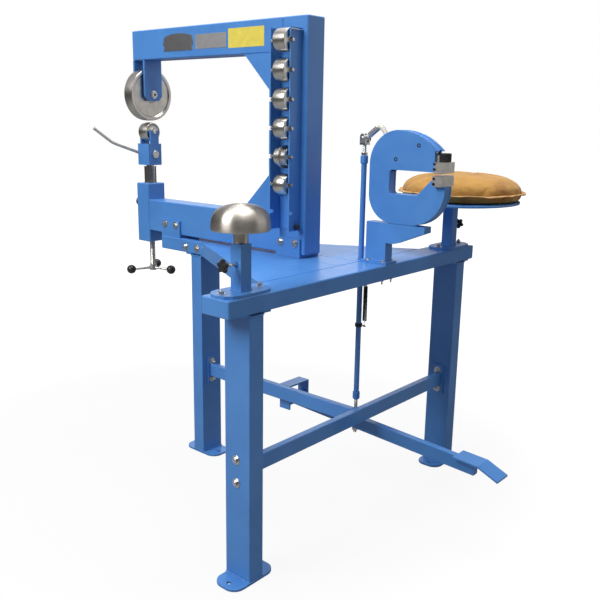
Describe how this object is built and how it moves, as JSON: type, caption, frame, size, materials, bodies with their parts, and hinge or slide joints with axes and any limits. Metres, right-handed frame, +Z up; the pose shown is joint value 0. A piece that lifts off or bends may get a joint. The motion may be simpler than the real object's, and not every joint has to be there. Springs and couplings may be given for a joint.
{
  "type": "english wheel station",
  "caption": "Sheet metal wheeling station: C frame with upper wheel and screw fed anvil, anvil rack, pedal shrinker, domed dolly and leather sand bag on a welded three leg stand.",
  "frame": {"origin": "middle of the underside of the rear foot", "axes": "+Z up, +X along the front bar from the dolly to the sand bag, +Y from the front bar towards the wheel"},
  "size_m": [1.46, 1.6803, 1.673],
  "materials": {
    "blue": "semi-gloss mid blue paint",
    "steel": "ground bright steel",
    "dark": "dark oiled steel",
    "black": "matte black",
    "zinc": "zinc plated",
    "leather": "tan leather"
  },
  "bodies": {
    "stand_body": {"anvil_rack": "blue", "bag_socket": "blue", "column_bracket": "blue", "cross_brace": "blue", "dolly_socket": "blue", "end_bracket": "blue", "frame_column": "blue", "frame_lower_arm": "blue", "frame_lower_corner": "blue", "frame_upper_arm": "blue", "frame_upper_corner": "blue", "gusset_left": "blue", "gusset_right": "blue", "leg_left": "blue", "leg_rear": "blue", "leg_right": "blue", "lower_jaw": "steel", "pedal_bracket": "blue", "quill_housing": "blue", "rack_knob": "black", "return_spring": "dark", "shrinker_core": "blue", "shrinker_cover": "blue", "shrinker_plate_far": "blue", "shrinker_plate_near": "blue", "shrinker_post": "blue", "stem_brace": "blue", "table_bar": "blue", "table_stem": "blue", "upper_axle": "dark", "upper_yoke_inner": "blue", "upper_yoke_outer": "blue"},
    "quill_body": {"quill": "steel"},
    "yoke_body": {"anvil_yoke": "blue", "anvil_axle": "dark"},
    "anvil_body": {"anvil": "steel"},
    "release_body": {"release_lever": "zinc"},
    "screw_body": {"feed_screw": "steel", "handle_ball_1": "black", "handle_ball_2": "black", "handle_ball_3": "black"},
    "upper_wheel_body": {"upper_wheel": "steel"},
    "lock_body": {"quill_lock_knob": "black"},
    "rod_body": {"pull_rod": "blue"},
    "pedal_body": {"pedal_lever": "blue"},
    "lever_body": {"shrink_lever": "zinc"},
    "rocker_body": {"rocker": "zinc"},
    "jaw_body": {"upper_jaw": "steel"},
    "stroke_knob_body": {"stroke_knob": "black"},
    "dolly_body": {"mushroom_dolly": "steel"},
    "dolly_knob_body": {"dolly_knob": "black"},
    "tray_body": {"bag_tray": "blue", "sand_bag": "leather"},
    "bag_knob_body": {"bag_knob": "black"},
    "spare_body_1": {"spare_anvil_1": "steel"},
    "spare_body_2": {"spare_anvil_2": "steel"},
    "spare_body_3": {"spare_anvil_3": "steel"},
    "spare_body_4": {"spare_anvil_4": "steel"},
    "spare_body_5": {"spare_anvil_5": "steel"},
    "spare_body_6": {"spare_anvil_6": "steel"}
  },
  "joints": [
    {"name": "upper_wheel_spin", "type": "hinge", "parent": "stand_body", "child": "upper_wheel_body", "pos_m": [0, 0.33, 1.432], "axis": [0, 1, 0], "continuous": true},
    {"name": "screw_turn", "type": "hinge", "parent": "quill_body", "child": "screw_body", "pos_m": [0, 0.33, 0.7155], "axis": [0, 0, 1], "range_deg": [-2160, 324]},
    {"name": "quill_slide", "type": "slide", "parent": "stand_body", "child": "quill_body", "axis": [0, 0, 1], "range_m": [-0.0299, 0.0044]},
    {"name": "release_turn", "type": "hinge", "parent": "yoke_body", "child": "release_body", "pos_m": [0, 0.33, 1.198], "axis": [0, -1, 0], "range_deg": [0, 60]},
    {"name": "yoke_drop", "type": "slide", "parent": "quill_body", "child": "yoke_body", "axis": [0, 0, -1], "range_m": [0, 0.005]},
    {"name": "anvil_spin", "type": "hinge", "parent": "yoke_body", "child": "anvil_body", "pos_m": [0, 0.33, 1.2865], "axis": [0, 1, 0], "continuous": true},
    {"name": "lock_turn", "type": "hinge", "parent": "stand_body", "child": "lock_body", "pos_m": [0, 0.368, 1], "axis": [0, 1, 0], "range_deg": [-180, 0]},
    {"name": "spare_spin_1", "type": "hinge", "parent": "stand_body", "child": "spare_body_1", "pos_m": [-0.086, -0.471, 1.594], "axis": [0, 1, 0], "continuous": true},
    {"name": "spare_spin_2", "type": "hinge", "parent": "stand_body", "child": "spare_body_2", "pos_m": [-0.086, -0.471, 1.5018], "axis": [0, 1, 0], "continuous": true},
    {"name": "spare_spin_3", "type": "hinge", "parent": "stand_body", "child": "spare_body_3", "pos_m": [-0.086, -0.471, 1.4096], "axis": [0, 1, 0], "continuous": true},
    {"name": "spare_spin_4", "type": "hinge", "parent": "stand_body", "child": "spare_body_4", "pos_m": [-0.086, -0.471, 1.3174], "axis": [0, 1, 0], "continuous": true},
    {"name": "spare_spin_5", "type": "hinge", "parent": "stand_body", "child": "spare_body_5", "pos_m": [-0.086, -0.471, 1.2252], "axis": [0, 1, 0], "continuous": true},
    {"name": "spare_spin_6", "type": "hinge", "parent": "stand_body", "child": "spare_body_6", "pos_m": [-0.086, -0.471, 1.133], "axis": [0, 1, 0], "continuous": true},
    {"name": "pedal_swing", "type": "hinge", "parent": "stand_body", "child": "pedal_body", "pos_m": [0.095, -0.4165, 0.303], "axis": [1, 0, 0], "range_deg": [0, 3.1], "stiffness_Nm_per_rad": 60, "springref_deg": -28.65},
    {"name": "rod_drop", "type": "slide", "parent": "stand_body", "child": "rod_body", "axis": [0, 0, -1], "range_m": [0, 0.0147], "deforming": ["return_spring"]},
    {"name": "lever_swing", "type": "hinge", "parent": "stand_body", "child": "lever_body", "pos_m": [0.095, -0.826, 1.228], "axis": [-1, 0, 0], "range_deg": [0, 6.1]},
    {"name": "rocker_swing", "type": "hinge", "parent": "stand_body", "child": "rocker_body", "pos_m": [0.095, -0.91, 1.274], "axis": [1, 0, 0], "range_deg": [0, 6.3]},
    {"name": "jaw_slide", "type": "slide", "parent": "stand_body", "child": "jaw_body", "axis": [0, 0, -1], "range_m": [0, 0.0055]},
    {"name": "stroke_knob_turn", "type": "hinge", "parent": "jaw_body", "child": "stroke_knob_body", "pos_m": [0.095, -0.995, 1.226], "axis": [0, 0, 1], "continuous": true},
    {"name": "dolly_rise", "type": "slide", "parent": "stand_body", "child": "dolly_body", "axis": [0, 0, 1], "range_m": [0, 0.06]},
    {"name": "dolly_knob_turn", "type": "hinge", "parent": "stand_body", "child": "dolly_knob_body", "pos_m": [-0.576, -0.761, 0.965], "axis": [1, 0, 0], "continuous": true},
    {"name": "tray_rise", "type": "slide", "parent": "stand_body", "child": "tray_body", "axis": [0, 0, 1], "range_m": [0, 0.05]},
    {"name": "bag_knob_turn", "type": "hinge", "parent": "stand_body", "child": "bag_knob_body", "pos_m": [0.576, -0.761, 0.965], "axis": [1, 0, 0], "continuous": true}
  ],
  "couplings": [
    {"joint": "screw_turn", "follows": "quill_slide", "rad_per_m": 1256.6},
    {"joint": "yoke_drop", "follows": "release_turn", "m_per_rad": 0.00477},
    {"joint": "rod_drop", "follows": "pedal_swing", "m_per_rad": 0.27},
    {"joint": "lever_swing", "follows": "pedal_swing", "ratio": 1.942},
    {"joint": "rocker_swing", "follows": "pedal_swing", "ratio": 2},
    {"joint": "jaw_slide", "follows": "pedal_swing", "m_per_rad": 0.099}
  ]
}
